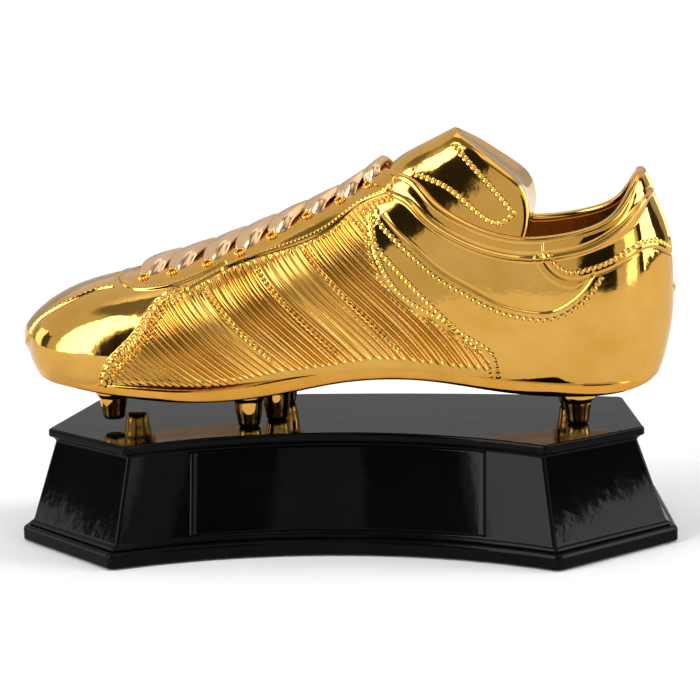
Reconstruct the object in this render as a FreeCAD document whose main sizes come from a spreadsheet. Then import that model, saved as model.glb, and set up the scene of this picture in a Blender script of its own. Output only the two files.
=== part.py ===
import FreeCAD, Part
import math
import os
import Sketcher
from FreeCAD import Placement, Rotation, Vector

# A gilded football boot on a black lacquered plinth. Millimetres, +Z up, +X from toe to heel.
# The plinth's bounding box is centred on the origin and the felt pad lies on Z = 0.

os.makedirs("parts", exist_ok=True)
doc = FreeCAD.newDocument("BootTrophy")
sheet = doc.addObject("Spreadsheet::Sheet", "Sizes")

SIZES = {
    "half_length": 146.5, "front_half": 97.0, "back_half": 135.0,
    "front_edge": 65.5, "waist_edge": 16.5, "front_hollow": 24.5,
    "back_edge": 56.5, "back_bulge": 9.0,
    "felt_proud": 0.8, "felt_thick": 1.5, "felt_inset": 7.0,
    "foot_thick": 6.8, "body_low_inset": 3.5, "body_high_inset": 17.0, "body_height": 40.6,
    "cap_inset": 14.0, "cap_thick": 3.8, "cap_edge": 1.2, "foot_edge": 2.2,
    "plate_half": 65.0, "plate_low": 12.0, "plate_high": 45.5, "plate_thick": 0.9,
    "bolt_radius": 2.0, "bolt_hole_radius": 2.3, "bolt_head_radius": 3.8, "bolt_head_height": 2.6,
    "bolt_depth": 7.0, "washer_radius": 5.0, "washer_thick": 0.8, "bore_radius": 5.5,
    "insert_radius": 2.9, "insert_length": 8.0,
    "foot_screw_radius": 1.5, "foot_screw_bore": 3.4, "foot_screw_head": 3.1, "foot_screw_sink": 3.0,
    "foot_screw_head_height": 2.0, "foot_screw_length": 18.0,
    "stud_root_radius": 7.9, "stud_collar": 3.6, "stud_waist_radius": 6.4, "stud_tip_radius": 4.9,
    "stud_tip_round": 1.2, "stud_seat": 2.5,
    "boot_centre": 9.0, "wall": 3.0, "overlay": 1.1, "tongue_thick": 4.0, "binding": 0.9,
    "insole_thick": 3.0, "lace_gap": 6.0, "lace_radius": 2.6, "eyelet_radius": 2.6, "eyelet_wire": 0.8,
}
# Studs: name, x, y, height of the sole above it, gap above the cap board, bolted from below or not.
STUDS = (
    ("stud_toe_near", -103.0, -11.5, 70.0, 3.5, False),
    ("stud_toe_far", -101.0, 29.5, 69.9, 3.5, False),
    ("stud_ball_near", -42.0, -13.2, 68.3, 0.0, True),
    ("stud_ball_mid", -31.5, 0.6, 69.3, 0.0, False),
    ("stud_ball_far", -32.5, 33.5, 69.2, 0.0, True),
    ("stud_heel_near", 103.0, -9.0, 66.4, 0.0, True),
    ("stud_heel_far", 98.0, 27.0, 66.5, 0.0, True),
)
for stud, x, y, root, gap, _ in STUDS:
    SIZES.update({stud + "_x": x, stud + "_y": y, stud + "_root": root, stud + "_gap": gap})
for row, (alias, value) in enumerate(SIZES.items(), start=1):
    sheet.set("A%d" % row, alias)
    sheet.set("B%d" % row, str(value))
    sheet.setAlias("B%d" % row, alias)
doc.recompute()


def size(alias):
    return float(sheet.get(alias))


def value_of(text):
    """Value of sums, differences and products of numbers and sheet aliases."""
    total = 0.0
    for term in text.replace("-", "+ -1 *").split("+"):
        factors = [factor.strip() for factor in term.split("*") if factor.strip()]
        if not factors:
            continue
        product = 1.0
        for factor in factors:
            product *= size(factor[6:]) if factor.startswith("Sizes.") else float(factor)
        total += product
    return total


FOOT_LOW = "Sizes.felt_proud"
BODY_LOW = "Sizes.felt_proud + Sizes.foot_thick"
CAP_LOW = BODY_LOW + " + Sizes.body_height"
CAP_HIGH = CAP_LOW + " + Sizes.cap_thick"
cap_high = size("felt_proud") + size("foot_thick") + size("body_height") + size("cap_thick")
centre_y = size("boot_centre")

BOLTS = [(x, y) for _, x, y, _, _, bolted in STUDS if bolted]
FOOT_SCREWS = ((-112.0, -28.0), (112.0, -28.0), (-112.0, 36.0), (112.0, 36.0))

# Side profiles of the sole, (x, z), toe to heel.
SOLE_TOP = (
    (-150, 87), (-142, 80.8), (-134, 77.9), (-122, 77.1), (-105, 75.4), (-85, 74.2), (-60, 73.6),
    (-40, 75.4), (-20, 78.2), (0, 80.4), (14, 81.4), (28, 81.1), (42, 79.4), (56, 77.4),
    (70, 75.5), (86, 73.9), (110, 72.6), (132, 73.6), (150, 78.5),
)
SOLE_LOW = (
    (-150, 82.5), (-142, 76.8), (-134, 73.4), (-122, 71.8), (-105, 70.1), (-85, 68.3), (-63, 67.5),
    (-42, 68.2), (-20, 70.6), (0, 73.6), (14, 74.5), (28, 74.3), (42, 73.0), (56, 70.8),
    (70, 68.5), (86, 66.9), (105, 66.3), (120, 67.0), (132, 69.0), (150, 74.0),
)
# Plan of the sole: (x, half width to the near side, half width to the far side).
SOLE_PLAN = (
    (-140, 12, 12), (-134, 22, 22), (-122, 31, 31), (-105, 38.5, 38.5), (-85, 43.5, 44.5),
    (-62, 46, 47), (-42, 44.5, 45.5), (-20, 40, 41), (0, 36, 36.5), (25, 32.5, 33),
    (50, 31.5, 32), (75, 32, 32.5), (100, 32.5, 32.5), (116, 30.5, 30.5), (128, 25, 25),
    (135, 16.5, 16.5),
)
SOLE_TOE_X = -142.5
SOLE_HEEL_X = 138.5

# Sections of the last: x, lowest z, highest z, half width, height of the widest line.
LAST = (
    (-145, 89.5, 95, 5, 92), (-143.8, 87, 96.5, 10, 91), (-141, 82, 99.5, 17, 89),
    (-136, 77.5, 103.5, 25, 88),
    (-128, 77, 109, 31.5, 87.5), (-116, 76.5, 114, 38, 87), (-100, 75, 117.3, 42.5, 86.5),
    (-80, 73.8, 121.5, 45.5, 86), (-58, 73.5, 127.5, 46.5, 86), (-35, 76, 136, 44, 87),
    (-12, 79, 146, 39.5, 89), (8, 81, 156, 36.5, 91), (28, 81.3, 171.5, 34.5, 93),
    (50, 78.3, 187.8, 34, 94), (75, 75, 193.5, 34.5, 95), (100, 73, 186, 35, 96),
    (118, 72.6, 180, 32.5, 98), (129, 73.5, 171, 27.5, 101), (135, 75, 156.5, 21.5, 104),
    (140, 79, 144.5, 15.5, 108), (144, 87, 136, 10.5, 110), (145.3, 97, 124, 6, 111),
)

# Edges seen from the side, (x, z).
RIM = (
    (18, 163), (34, 159), (41, 152), (49, 146), (66, 138), (83, 135), (97, 136), (111, 139),
    (121, 144), (128, 153), (133, 163),
)
RIM_SEAM = (
    (150, 152), (134, 151), (127, 142.5), (119, 136), (110, 131.5), (97, 128.5), (83, 127.5),
    (65, 130.5), (47, 138.5), (38, 145), (31, 151.5), (16, 155),
)
TONGUE = (
    (6, 148), (16, 170), (30, 186), (48, 186), (54, 181.5), (60, 177.5), (68, 172.5), (78, 166.5),
    (84, 160.5), (86.5, 152), (85.5, 142), (82, 128), (40, 128), (16, 140),
)
RIBBED_PANEL = (
    (-103, 66), (-103, 74), (-96, 87), (-85, 99), (-79, 109), (-70, 114.5), (-50, 122), (-30, 128.5),
    (-15, 133.5), (0, 141), (9, 148), (16, 151), (16.5, 131), (30, 109.5), (45, 100.5), (59, 91),
    (67, 85), (69, 77), (69, 66),
)
HEEL_COUNTER = (
    (17.5, 149), (26, 140.5), (35.5, 131.5), (47, 122), (57, 116), (71, 108.5), (85, 105), (92, 105),
    (100, 108.5), (107, 114), (112, 119.2), (118, 121.5), (127, 126), (134, 128.8), (138.5, 128.6),
    (143, 124.2), (150, 119.5), (160, 66), (70.5, 66), (70.5, 77), (68.5, 85.7), (60, 92.2),
    (46, 101.7), (31, 110.7), (17.7, 131.5),
)
HEEL_PATCH = (
    (89, 160), (89, 133.5), (91, 127.5), (95.5, 122), (102, 119.3), (110, 120.4), (117.5, 122.7),
    (127.5, 127.5), (134, 130.3), (138.5, 130), (143, 125.6), (152, 120.5), (160, 170),
)
EYESTAY = (
    (-103, 118.5), (-96, 114.8), (-86, 114), (-72, 116.8), (-60, 120), (-50, 123.8), (-30, 130.2),
    (-15, 135.2), (0, 142.8), (9, 150), (17, 153), (31, 156.5), (34, 160), (30, 185), (-103, 140),
)
TOE_STRIP = (
    (-150, 82), (-142, 88.5), (-138, 96), (-129, 104), (-118, 109.5), (-107, 113), (-104, 114),
    (-104, 140), (-150, 140),
)
EYELET_X = (-88, -74, -59, -44, -29.5, -15, -1, 11)


# ---------------------------------------------------------------- plinth

def constrain(sketch, kind, refs, expression, value):
    index = sketch.addConstraint(Sketcher.Constraint(kind, *refs, value))
    if expression:
        sketch.setExpression("Constraints[%d]" % index, expression)


def plane_of(body, role):
    return [item for item in body.Origin.OriginFeatures if item.Role == role][0]


def attach(sketch, body, role, lift=None):
    sketch.AttachmentSupport = [(plane_of(body, role), "")]
    sketch.MapMode = "FlatFace"
    if lift:
        sketch.setExpression("AttachmentOffset.Base.z", lift)


def arc_through(left, middle, right):
    arc = Part.Arc(Vector(*left, 0), Vector(*middle, 0), Vector(*right, 0)).toShape()
    curve = arc.Curve
    return Part.ArcOfCircle(curve, arc.FirstParameter, arc.LastParameter)


def plinth_outline(body, name, inset_text, lift):
    """Six-sided outline: a hollow front arc, four straight sides and a bulging back arc."""
    inset = value_of(inset_text)
    sketch = body.newObject("Sketcher::SketchObject", name)
    attach(sketch, body, "XY_Plane", lift)
    front = (size("front_half") - 0.41 * inset, -(size("front_edge") - inset))
    waist = (size("half_length") - inset, -size("waist_edge"))
    back = (size("back_half") - inset, size("back_edge") - inset)
    hollow = -(size("front_edge") - size("front_hollow") - inset)
    bulge = size("back_edge") + size("back_bulge") - inset

    def flip(point):
        return (-point[0], point[1])

    def line(start, end):
        return sketch.addGeometry(Part.LineSegment(Vector(*start, 0), Vector(*end, 0)), False)

    arc_front = sketch.addGeometry(arc_through(flip(front), (0, hollow), front), False)
    side_front = line(front, waist)
    side_back = line(waist, back)
    arc_back = sketch.addGeometry(arc_through(back, (0, bulge), flip(back)), False)
    left_back = line(flip(back), flip(waist))
    left_front = line(flip(waist), flip(front))
    ends = {}
    for geo in (arc_front, arc_back):
        start = sketch.getPoint(geo, 1)
        ends[geo] = (1, 2) if start.x > 0 else (2, 1)
    front_right, front_left = ends[arc_front]
    back_right, back_left = ends[arc_back]
    for first, second in (
        ((arc_front, front_right), (side_front, 1)), ((side_front, 2), (side_back, 1)),
        ((side_back, 2), (arc_back, back_right)), ((arc_back, back_left), (left_back, 1)),
        ((left_back, 2), (left_front, 1)), ((left_front, 2), (arc_front, front_left)),
    ):
        sketch.addConstraint(Sketcher.Constraint("Coincident", *first, *second))
    for right, left in (((side_front, 1), (left_front, 2)), ((side_front, 2), (left_front, 1)),
                        ((side_back, 2), (left_back, 1))):
        sketch.addConstraint(Sketcher.Constraint("Symmetric", *left, *right, -2))
    text = "(%s)" % inset_text
    front_half = "(Sizes.front_half - 0.41 * %s)" % text
    back_half = "(Sizes.back_half - %s)" % text
    constrain(sketch, "DistanceX", (-1, 1, side_front, 1), front_half, front[0])
    constrain(sketch, "DistanceY", (side_front, 1, -1, 1), "Sizes.front_edge - " + text, -front[1])
    constrain(sketch, "DistanceX", (-1, 1, side_front, 2), "Sizes.half_length - " + text, waist[0])
    constrain(sketch, "DistanceY", (side_front, 2, -1, 1), "Sizes.waist_edge", -waist[1])
    constrain(sketch, "DistanceX", (-1, 1, side_back, 2), back_half, back[0])
    constrain(sketch, "DistanceY", (-1, 1, side_back, 2), "Sizes.back_edge - " + text, back[1])
    for arc, half, rise, reach in ((arc_front, front_half, "front_hollow", front[0]),
                                   (arc_back, back_half, "back_bulge", back[0])):
        radius_text = "(%s^2 + Sizes.%s^2) / (2 * Sizes.%s)" % (half, rise, rise)
        radius = (reach ** 2 + size(rise) ** 2) / (2 * size(rise))
        constrain(sketch, "Radius", (arc,), radius_text, radius)
    return sketch


def new_body(name):
    body = doc.addObject("PartDesign::Body", name)
    body.Label = name
    return body


def plinth_board(name, inset_text, low, thick, edge=None):
    body = new_body(name)
    sketch = plinth_outline(body, name + "_outline", inset_text, low)
    pad = body.newObject("PartDesign::Pad", name + "_pad")
    pad.Profile = sketch
    pad.setExpression("Length", thick)
    doc.recompute()
    if edge:
        top = pad.Shape.BoundBox.ZMax
        rims = [
            "Edge%d" % (i + 1) for i, item in enumerate(pad.Shape.Edges)
            if item.BoundBox.ZMin > top - 0.01
        ]
        rounding = body.newObject("PartDesign::Fillet", name + "_edge")
        rounding.Base = (pad, rims)
        rounding.setExpression("Radius", edge)
        doc.recompute()
    return body


def drill(body, name, points, radius, low, depth):
    """Round holes, cut upward from the height low."""
    sketch = body.newObject("Sketcher::SketchObject", name + "_marks")
    attach(sketch, body, "XY_Plane", low)
    for x, y in points:
        circle = sketch.addGeometry(Part.Circle(Vector(x, y, 0), Vector(0, 0, 1), value_of(radius)), False)
        constrain(sketch, "Radius", (circle,), radius, value_of(radius))
        sketch.addConstraint(Sketcher.Constraint("DistanceX", -1, 1, circle, 3, x))
        sketch.addConstraint(Sketcher.Constraint("DistanceY", -1, 1, circle, 3, y))
    pocket = body.newObject("PartDesign::Pocket", name)
    pocket.Profile = sketch
    pocket.Reversed = True
    pocket.setExpression("Length", depth)
    before = body.Shape.Volume
    doc.recompute()
    if body.Shape.Volume > before - 1.0:
        pocket.Reversed = False
        doc.recompute()
    return pocket


felt_pad = plinth_board("felt_pad", "Sizes.felt_inset", "0 * Sizes.felt_proud", "Sizes.felt_thick")

foot_board = plinth_board("foot_board", "0", FOOT_LOW, "Sizes.foot_thick", "Sizes.foot_edge")
recess_outline = plinth_outline(foot_board, "felt_recess_outline", "Sizes.felt_inset", FOOT_LOW)
recess = foot_board.newObject("PartDesign::Pocket", "felt_recess")
recess.Profile = recess_outline
recess.Reversed = True
recess.setExpression("Length", "Sizes.felt_thick - Sizes.felt_proud")
doc.recompute()
drill(foot_board, "foot_bolt_bores", BOLTS, "Sizes.bore_radius", FOOT_LOW, "Sizes.foot_thick")
drill(foot_board, "foot_screw_sinks", FOOT_SCREWS, "Sizes.foot_screw_bore", FOOT_LOW,
      "Sizes.foot_screw_sink")
drill(foot_board, "foot_screw_holes", FOOT_SCREWS, "Sizes.foot_screw_radius", FOOT_LOW, "Sizes.foot_thick")

base_body = new_body("base_body")
low_outline = plinth_outline(base_body, "body_low_outline", "Sizes.body_low_inset", BODY_LOW)
high_outline = plinth_outline(base_body, "body_high_outline", "Sizes.body_high_inset", CAP_LOW)
loft = base_body.newObject("PartDesign::AdditiveLoft", "body_taper")
loft.Profile = low_outline
loft.Sections = [high_outline]
loft.Ruled = True
doc.recompute()
tapered_body = loft.Shape.copy()
drill(base_body, "bolt_wells", BOLTS, "Sizes.bore_radius", BODY_LOW, "Sizes.body_height - Sizes.bolt_depth")
drill(base_body, "bolt_holes", BOLTS, "Sizes.bolt_hole_radius", BODY_LOW, "Sizes.body_height")
drill(base_body, "screw_pilots", FOOT_SCREWS, "Sizes.foot_screw_radius", BODY_LOW,
      "Sizes.foot_screw_length")

cap_board = plinth_board("cap_board", "Sizes.cap_inset", CAP_LOW, "Sizes.cap_thick", "Sizes.cap_edge")
drill(cap_board, "cap_holes", BOLTS, "Sizes.bolt_hole_radius", CAP_LOW, "Sizes.cap_thick")


# ---------------------------------------------------------------- fixings

def post(name, x, y, radius, low, height):
    item = doc.addObject("Part::Cylinder", name)
    item.setExpression("Radius", radius)
    item.setExpression("Height", height)
    item.Placement.Base = Vector(x, y, 0)
    item.setExpression("Placement.Base.z", low)
    return item


def ring(name, x, y, outer, inner, low, height):
    item = doc.addObject("Part::Cut", name)
    item.Base = post(name + "_outer", x, y, outer, low, height)
    item.Tool = post(name + "_inner", x, y, inner, low, height)
    return item


def headed(name, x, y, head, head_low, head_height, shank, shank_length):
    item = doc.addObject("Part::MultiFuse", name)
    head_post = post(name + "_head", x, y, head, head_low, head_height)
    shank_post = post(name + "_shank", x, y, shank, head_low, shank_length)
    item.Shapes = [head_post, shank_post]
    return item


def group(name, items):
    item = doc.addObject("Part::Compound", name)
    item.Label = name
    item.Links = items
    return item


WELL_TOP = CAP_LOW + " - Sizes.bolt_depth"
HEAD_TOP = WELL_TOP + " - Sizes.washer_thick"
HEAD_LOW = HEAD_TOP + " - Sizes.bolt_head_height"
BOLT_LENGTH = ("Sizes.bolt_head_height + Sizes.washer_thick + Sizes.bolt_depth + Sizes.cap_thick"
               " + Sizes.insert_length")
SCREW_SEAT = FOOT_LOW + " + Sizes.foot_screw_sink"
SCREW_LOW = SCREW_SEAT + " - Sizes.foot_screw_head_height"

fixing_bolts = group("fixing_bolts", [
    headed("bolt_%d" % i, x, y, "Sizes.bolt_head_radius", HEAD_LOW, "Sizes.bolt_head_height",
           "Sizes.bolt_radius", BOLT_LENGTH)
    for i, (x, y) in enumerate(BOLTS, start=1)
])
fixing_washers = group("fixing_washers", [
    ring("washer_%d" % i, x, y, "Sizes.washer_radius", "Sizes.bolt_radius", HEAD_TOP, "Sizes.washer_thick")
    for i, (x, y) in enumerate(BOLTS, start=1)
])
stud_inserts = group("stud_inserts", [
    ring("insert_%d" % i, x, y, "Sizes.insert_radius", "Sizes.bolt_radius", CAP_HIGH + " + 1",
         "Sizes.insert_length")
    for i, (x, y) in enumerate(BOLTS, start=1)
])
foot_screws = group("foot_screws", [
    headed("foot_screw_%d" % i, x, y, "Sizes.foot_screw_head", SCREW_LOW,
           "Sizes.foot_screw_head_height", "Sizes.foot_screw_radius", "Sizes.foot_screw_length")
    for i, (x, y) in enumerate(FOOT_SCREWS, start=1)
])


# ---------------------------------------------------------------- studs

def turned_stud(name, bolted):
    """A collar, a waist and a tapered tip; a bolted one has a pocket for its threaded insert."""
    tip = CAP_HIGH + " + Sizes." + name + "_gap"
    root = "Sizes." + name + "_root"
    top = root + " + Sizes.stud_seat"
    collar = root + " - Sizes.stud_collar"
    outline = [
        ("Sizes.stud_tip_radius - Sizes.stud_tip_round", tip),
        ("Sizes.stud_tip_radius", tip + " + Sizes.stud_tip_round"),
        ("Sizes.stud_waist_radius", collar),
        ("Sizes.stud_root_radius", collar),
        ("Sizes.stud_root_radius", top),
        (None, top),
    ]
    if bolted:
        floor = tip + " + 1"
        roof = tip + " + 1 + Sizes.insert_length"
        outline += [(None, roof), ("Sizes.insert_radius", roof), ("Sizes.insert_radius", floor),
                    ("Sizes.bolt_radius", floor), ("Sizes.bolt_radius", tip)]
    else:
        outline += [(None, tip)]
    body = new_body(name)
    sketch = body.newObject("Sketcher::SketchObject", name + "_profile")
    attach(sketch, body, "XZ_Plane")
    corners = [(value_of(radius) if radius else 0.0, value_of(height)) for radius, height in outline]
    count = len(corners)
    for i, start in enumerate(corners):
        end = corners[(i + 1) % count]
        sketch.addGeometry(Part.LineSegment(Vector(*start, 0), Vector(*end, 0)), False)
    for i in range(count):
        sketch.addConstraint(Sketcher.Constraint("Coincident", i, 2, (i + 1) % count, 1))
    for i, (radius, height) in enumerate(outline):
        if radius:
            constrain(sketch, "DistanceX", (-1, 1, i, 1), radius, corners[i][0])
        else:
            sketch.addConstraint(Sketcher.Constraint("PointOnObject", i, 1, -2))
        constrain(sketch, "DistanceY", (-1, 1, i, 1), height, corners[i][1])
    turn = body.newObject("PartDesign::Revolution", name + "_turn")
    turn.Profile = sketch
    turn.ReferenceAxis = (sketch, ["V_Axis"])
    turn.Angle = 360
    body.setExpression("Placement.Base.x", "Sizes." + name + "_x")
    body.setExpression("Placement.Base.y", "Sizes." + name + "_y")
    doc.recompute()
    return body


studs = [turned_stud(name, bolted) for name, _, _, _, _, bolted in STUDS]


# ---------------------------------------------------------------- boot solids

def side_solid(points, low_y, high_y):
    """Extrude an outline seen from the side across the width, from low_y to high_y."""
    corners = [Vector(x, low_y, z) for x, z in points]
    wire = Part.makePolygon(corners + [corners[0]])
    return Part.Face(wire).extrude(Vector(0, high_y - low_y, 0))


def profile_slab(low, high, low_y=-80.0, high_y=100.0):
    """Solid between two side profiles, each a smooth line of (x, z) points."""
    edges = []
    for profile in (low, high):
        curve = Part.BSplineCurve()
        curve.interpolate([Vector(x, low_y, z) for x, z in profile])
        edges.append(curve.toShape())
    ends = []
    for (low_x, low_z), (high_x, high_z) in ((low[0], high[0]), (low[-1], high[-1])):
        ends.append(Part.makeLine(Vector(low_x, low_y, low_z), Vector(high_x, low_y, high_z)))
    wire = Part.Wire(Part.__sortEdges__(edges + ends))
    return Part.Face(wire).extrude(Vector(0, high_y - low_y, 0))


def last_section(x, low, high, half, middle, growth):
    """Closed section of the last: an elliptical top and a squarer underside."""
    count = 22
    ring_points = []
    for i in range(count):
        angle = 2 * math.pi * i / count
        cosine, sine = math.cos(angle), math.sin(angle)
        width = half + growth
        rise = high + growth - middle
        drop = middle - low + 5 + growth
        side = math.copysign(abs(cosine) ** (1.0 if sine >= 0 else 0.6), cosine)
        level = rise * sine if sine >= 0 else -drop * abs(sine) ** 0.6
        ring_points.append(Vector(x, centre_y + width * side, middle + level))
    curve = Part.BSplineCurve()
    curve.interpolate(ring_points, PeriodicFlag=True)
    start, end = curve.FirstParameter, curve.LastParameter
    opposite = curve.parameter(ring_points[count // 2])
    return curve.toShape(start, opposite), curve.toShape(opposite, end)


def last_solid(growth):
    """The whole last, grown or shrunk by growth."""
    reach = 1.0 + growth / size("half_length")
    rings = [
        last_section(x * reach, low, high, half, middle, growth)
        for x, low, high, half, middle in LAST if min(half, high - middle) + growth > 2.0
    ]
    faces = [Part.Face(Part.Wire(edges)) for edges in (rings[0], rings[-1])]
    for before, after in zip(rings, rings[1:]):
        faces += [Part.makeRuledSurface(first, second) for first, second in zip(before, after)]
    shell = Part.makeShell(faces)
    shell.sewShape()
    solid = Part.makeSolid(shell)
    if solid.Volume < 0:
        solid.reverse()
    return solid


def feature(name, shape):
    item = doc.addObject("Part::Feature", name)
    item.Label = name
    item.Shape = shape
    return item


def largest(shape):
    return max(shape.Solids, key=lambda solid: solid.Volume)


wall = size("wall")
overlay = size("overlay")
binding = size("binding")
outer = last_solid(0.0)
lining = last_solid(-wall)
skin = last_solid(overlay)
padded = last_solid(binding)
pad_inside = last_solid(-wall - binding)
tongue_outside = last_solid(-wall - 0.3)
tongue_inside = last_solid(-wall - 0.3 - size("tongue_thick"))

plan_near = [Vector(x, centre_y - near, 60) for x, near, _ in SOLE_PLAN]
plan_far = [Vector(x, centre_y + far, 60) for x, _, far in reversed(SOLE_PLAN)]
toe_point = Vector(SOLE_TOE_X, centre_y, 60)
heel_point = Vector(SOLE_HEEL_X, centre_y, 60)
plan_points = [toe_point] + plan_near + [heel_point] + plan_far
plan_curve = Part.BSplineCurve()
plan_curve.interpolate(plan_points, PeriodicFlag=True)
plan_prism = Part.Face(Part.Wire(plan_curve.toShape())).extrude(Vector(0, 0, 40))
outsole_shape = largest(profile_slab(SOLE_LOW, SOLE_TOP).common(plan_prism))
for stud in studs:
    outsole_shape = outsole_shape.cut(stud.Shape)
outsole = feature("outsole", largest(outsole_shape))

above_sole = profile_slab(SOLE_TOP, [(x, 230) for x, _ in SOLE_TOP])
insole_line = [(x, z + size("insole_thick")) for x, z in SOLE_TOP]
insole = feature("insole", largest(lining.common(profile_slab(SOLE_TOP, insole_line))))

upper_edge = [(-160, 40), (-160, 200), (16, 200)] + list(reversed(RIM_SEAM)) + [(160, 152), (160, 40)]
below_seam = side_solid(upper_edge, -80, 100)
band_region = side_solid(list(RIM) + [(150, 172)] + list(RIM_SEAM), -80, 100)
upper = feature("upper_shell", largest(outer.cut(lining).common(above_sole).common(below_seam)))
collar = feature("collar_binding", largest(padded.cut(pad_inside).common(band_region)))
tongue = feature("tongue", largest(tongue_outside.cut(tongue_inside).common(side_solid(TONGUE, -80, 100))))

layer = skin.cut(outer).common(above_sole).common(below_seam)
near_gap = centre_y - 2
far_gap = centre_y + 2
lace_gap = size("lace_gap")
PANELS = (
    ("side_panel_near", RIBBED_PANEL, -80, near_gap),
    ("side_panel_far", RIBBED_PANEL, far_gap, 100),
    ("eyestay_near", EYESTAY, -80, centre_y - lace_gap),
    ("eyestay_far", EYESTAY, centre_y + lace_gap, 100),
    ("heel_counter", HEEL_COUNTER, -80, 100),
    ("heel_patch", HEEL_PATCH, -80, 100),
    ("toe_strip", TOE_STRIP, -80, 100),
)
panels = []
for name, outline, low, high in PANELS:
    panels.append(feature(name, largest(layer.common(side_solid(outline, low, high)))))


# ---------------------------------------------------------------- lacing

def top_of_last(x):
    """Height and half width of the last at x, between its sections."""
    for before, after in zip(LAST, LAST[1:]):
        if before[0] <= x <= after[0]:
            share = (x - before[0]) / (after[0] - before[0])
            return [a + share * (b - a) for a, b in zip(before, after)]
    return LAST[0]


def on_last(x, angle, lift):
    """Point above the skin at x, with angle measured from straight up."""
    _, _, high, half, middle = top_of_last(x)
    radians = math.radians(angle)
    across = (half + lift) * math.sin(radians)
    up = (high - middle + lift) * math.cos(radians)
    return Vector(x, centre_y + across, middle + up)


lace_radius = size("lace_radius")
lace_lift = overlay + lace_radius + 0.6
lace_bars = []
for x in EYELET_X:
    near_end = on_last(x, -24, lace_lift)
    ridge = on_last(x + 2, 0, lace_lift)
    far_end = on_last(x + 4, 24, lace_lift)
    path = Part.Arc(near_end, ridge, far_end)
    start = path.value(path.FirstParameter)
    mouth = Part.Wire(Part.makeCircle(lace_radius, start, path.tangent(path.FirstParameter)[0]))
    lace_bars.append(Part.Wire(path.toShape()).makePipeShell([mouth], True, False))
laces = feature("laces", Part.makeCompound(lace_bars))

eyelet_rings = []
for i, x in enumerate(EYELET_X, start=1):
    for side, angle in (("near", -31), ("far", 31)):
        lift = overlay + size("eyelet_wire") + 0.3
        place = on_last(x, angle, lift)
        outward = on_last(x, angle, lift + 5).sub(on_last(x, angle, lift - 5))
        item = doc.addObject("Part::Torus", "eyelet_%s_%d" % (side, i))
        item.setExpression("Radius1", "Sizes.eyelet_radius")
        item.setExpression("Radius2", "Sizes.eyelet_wire")
        item.Placement = Placement(place, Rotation(Vector(0, 0, 1), outward))
        eyelet_rings.append(item)
eyelets = group("eyelets", eyelet_rings)

plate_block = Part.makeBox(2 * size("plate_half"), 60, size("plate_high") - size("plate_low"),
                           Vector(-size("plate_half"), -size("front_edge"), size("plate_low")))
plate_front = tapered_body.copy()
plate_front.translate(Vector(0, -size("plate_thick"), 0))
plate_shape = plate_front.common(plate_block).cut(tapered_body)
name_plate = feature("name_plate", largest(plate_shape))


# ---------------------------------------------------------------- checks and export

doc.recompute()
plinth_nodes = [felt_pad, foot_board, foot_screws, base_body, cap_board, name_plate]
fixing_nodes = [fixing_bolts, fixing_washers, stud_inserts]
boot_nodes = [outsole, insole, upper, collar, tongue, laces, eyelets]
for item in doc.Objects:
    if "Invalid" in item.State or "Error" in item.State:
        raise RuntimeError("%s did not compute" % item.Name)
for item in plinth_nodes + fixing_nodes + boot_nodes + studs + panels:
    shape = item.Shape
    if shape.isNull() or not shape.isValid() or not shape.Solids:
        raise RuntimeError("%s has no valid solid" % item.Label)
    shape.exportStep("parts/%s.step" % item.Label)
    box = shape.BoundBox
    extent = (box.XMin, box.XMax, box.YMin, box.YMax, box.ZMin, box.ZMax)
    print("%-16s %2d solids" % (item.Label, len(shape.Solids)), ["%.1f" % value for value in extent])
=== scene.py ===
import math

import bpy
import numpy as np
from mathutils import Matrix, Vector


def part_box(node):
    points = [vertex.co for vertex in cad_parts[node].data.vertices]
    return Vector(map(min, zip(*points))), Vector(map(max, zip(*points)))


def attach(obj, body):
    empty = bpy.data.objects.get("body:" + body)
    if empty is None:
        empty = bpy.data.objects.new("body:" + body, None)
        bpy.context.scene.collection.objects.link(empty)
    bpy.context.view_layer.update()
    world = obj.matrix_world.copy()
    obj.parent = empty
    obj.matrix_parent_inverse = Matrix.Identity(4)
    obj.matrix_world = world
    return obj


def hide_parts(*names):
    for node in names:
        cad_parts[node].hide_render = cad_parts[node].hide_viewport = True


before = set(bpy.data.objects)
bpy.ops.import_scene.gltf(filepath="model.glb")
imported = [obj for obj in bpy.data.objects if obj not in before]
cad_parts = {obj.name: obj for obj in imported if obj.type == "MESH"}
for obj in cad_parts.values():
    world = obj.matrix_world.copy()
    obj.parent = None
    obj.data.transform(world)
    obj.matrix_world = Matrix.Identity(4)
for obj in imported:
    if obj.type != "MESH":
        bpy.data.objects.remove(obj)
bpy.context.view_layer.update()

# A gilded football boot on a black lacquered plinth.
# Lengths below are in millimetres. UNIT turns them into metres, and is read off the foot board.
FOOT_LENGTH, CAP_TOP, SOLE_FRONT = 293.0, 52.0, 142.5
foot_low, foot_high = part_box("foot_board")
UNIT = (foot_high[0] - foot_low[0]) / FOOT_LENGTH
MID_Y = (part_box("upper_shell")[0][1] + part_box("upper_shell")[1][1]) / 2 / UNIT
BASE_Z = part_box("cap_board")[1][2] / UNIT - CAP_TOP
BOOT = np.array([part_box("outsole")[0][0] / UNIT + SOLE_FRONT, MID_Y, BASE_Z])
PLINTH = np.array([0.0, 0.0, BASE_Z])


# ---------------------------------------- curves and grids

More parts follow.
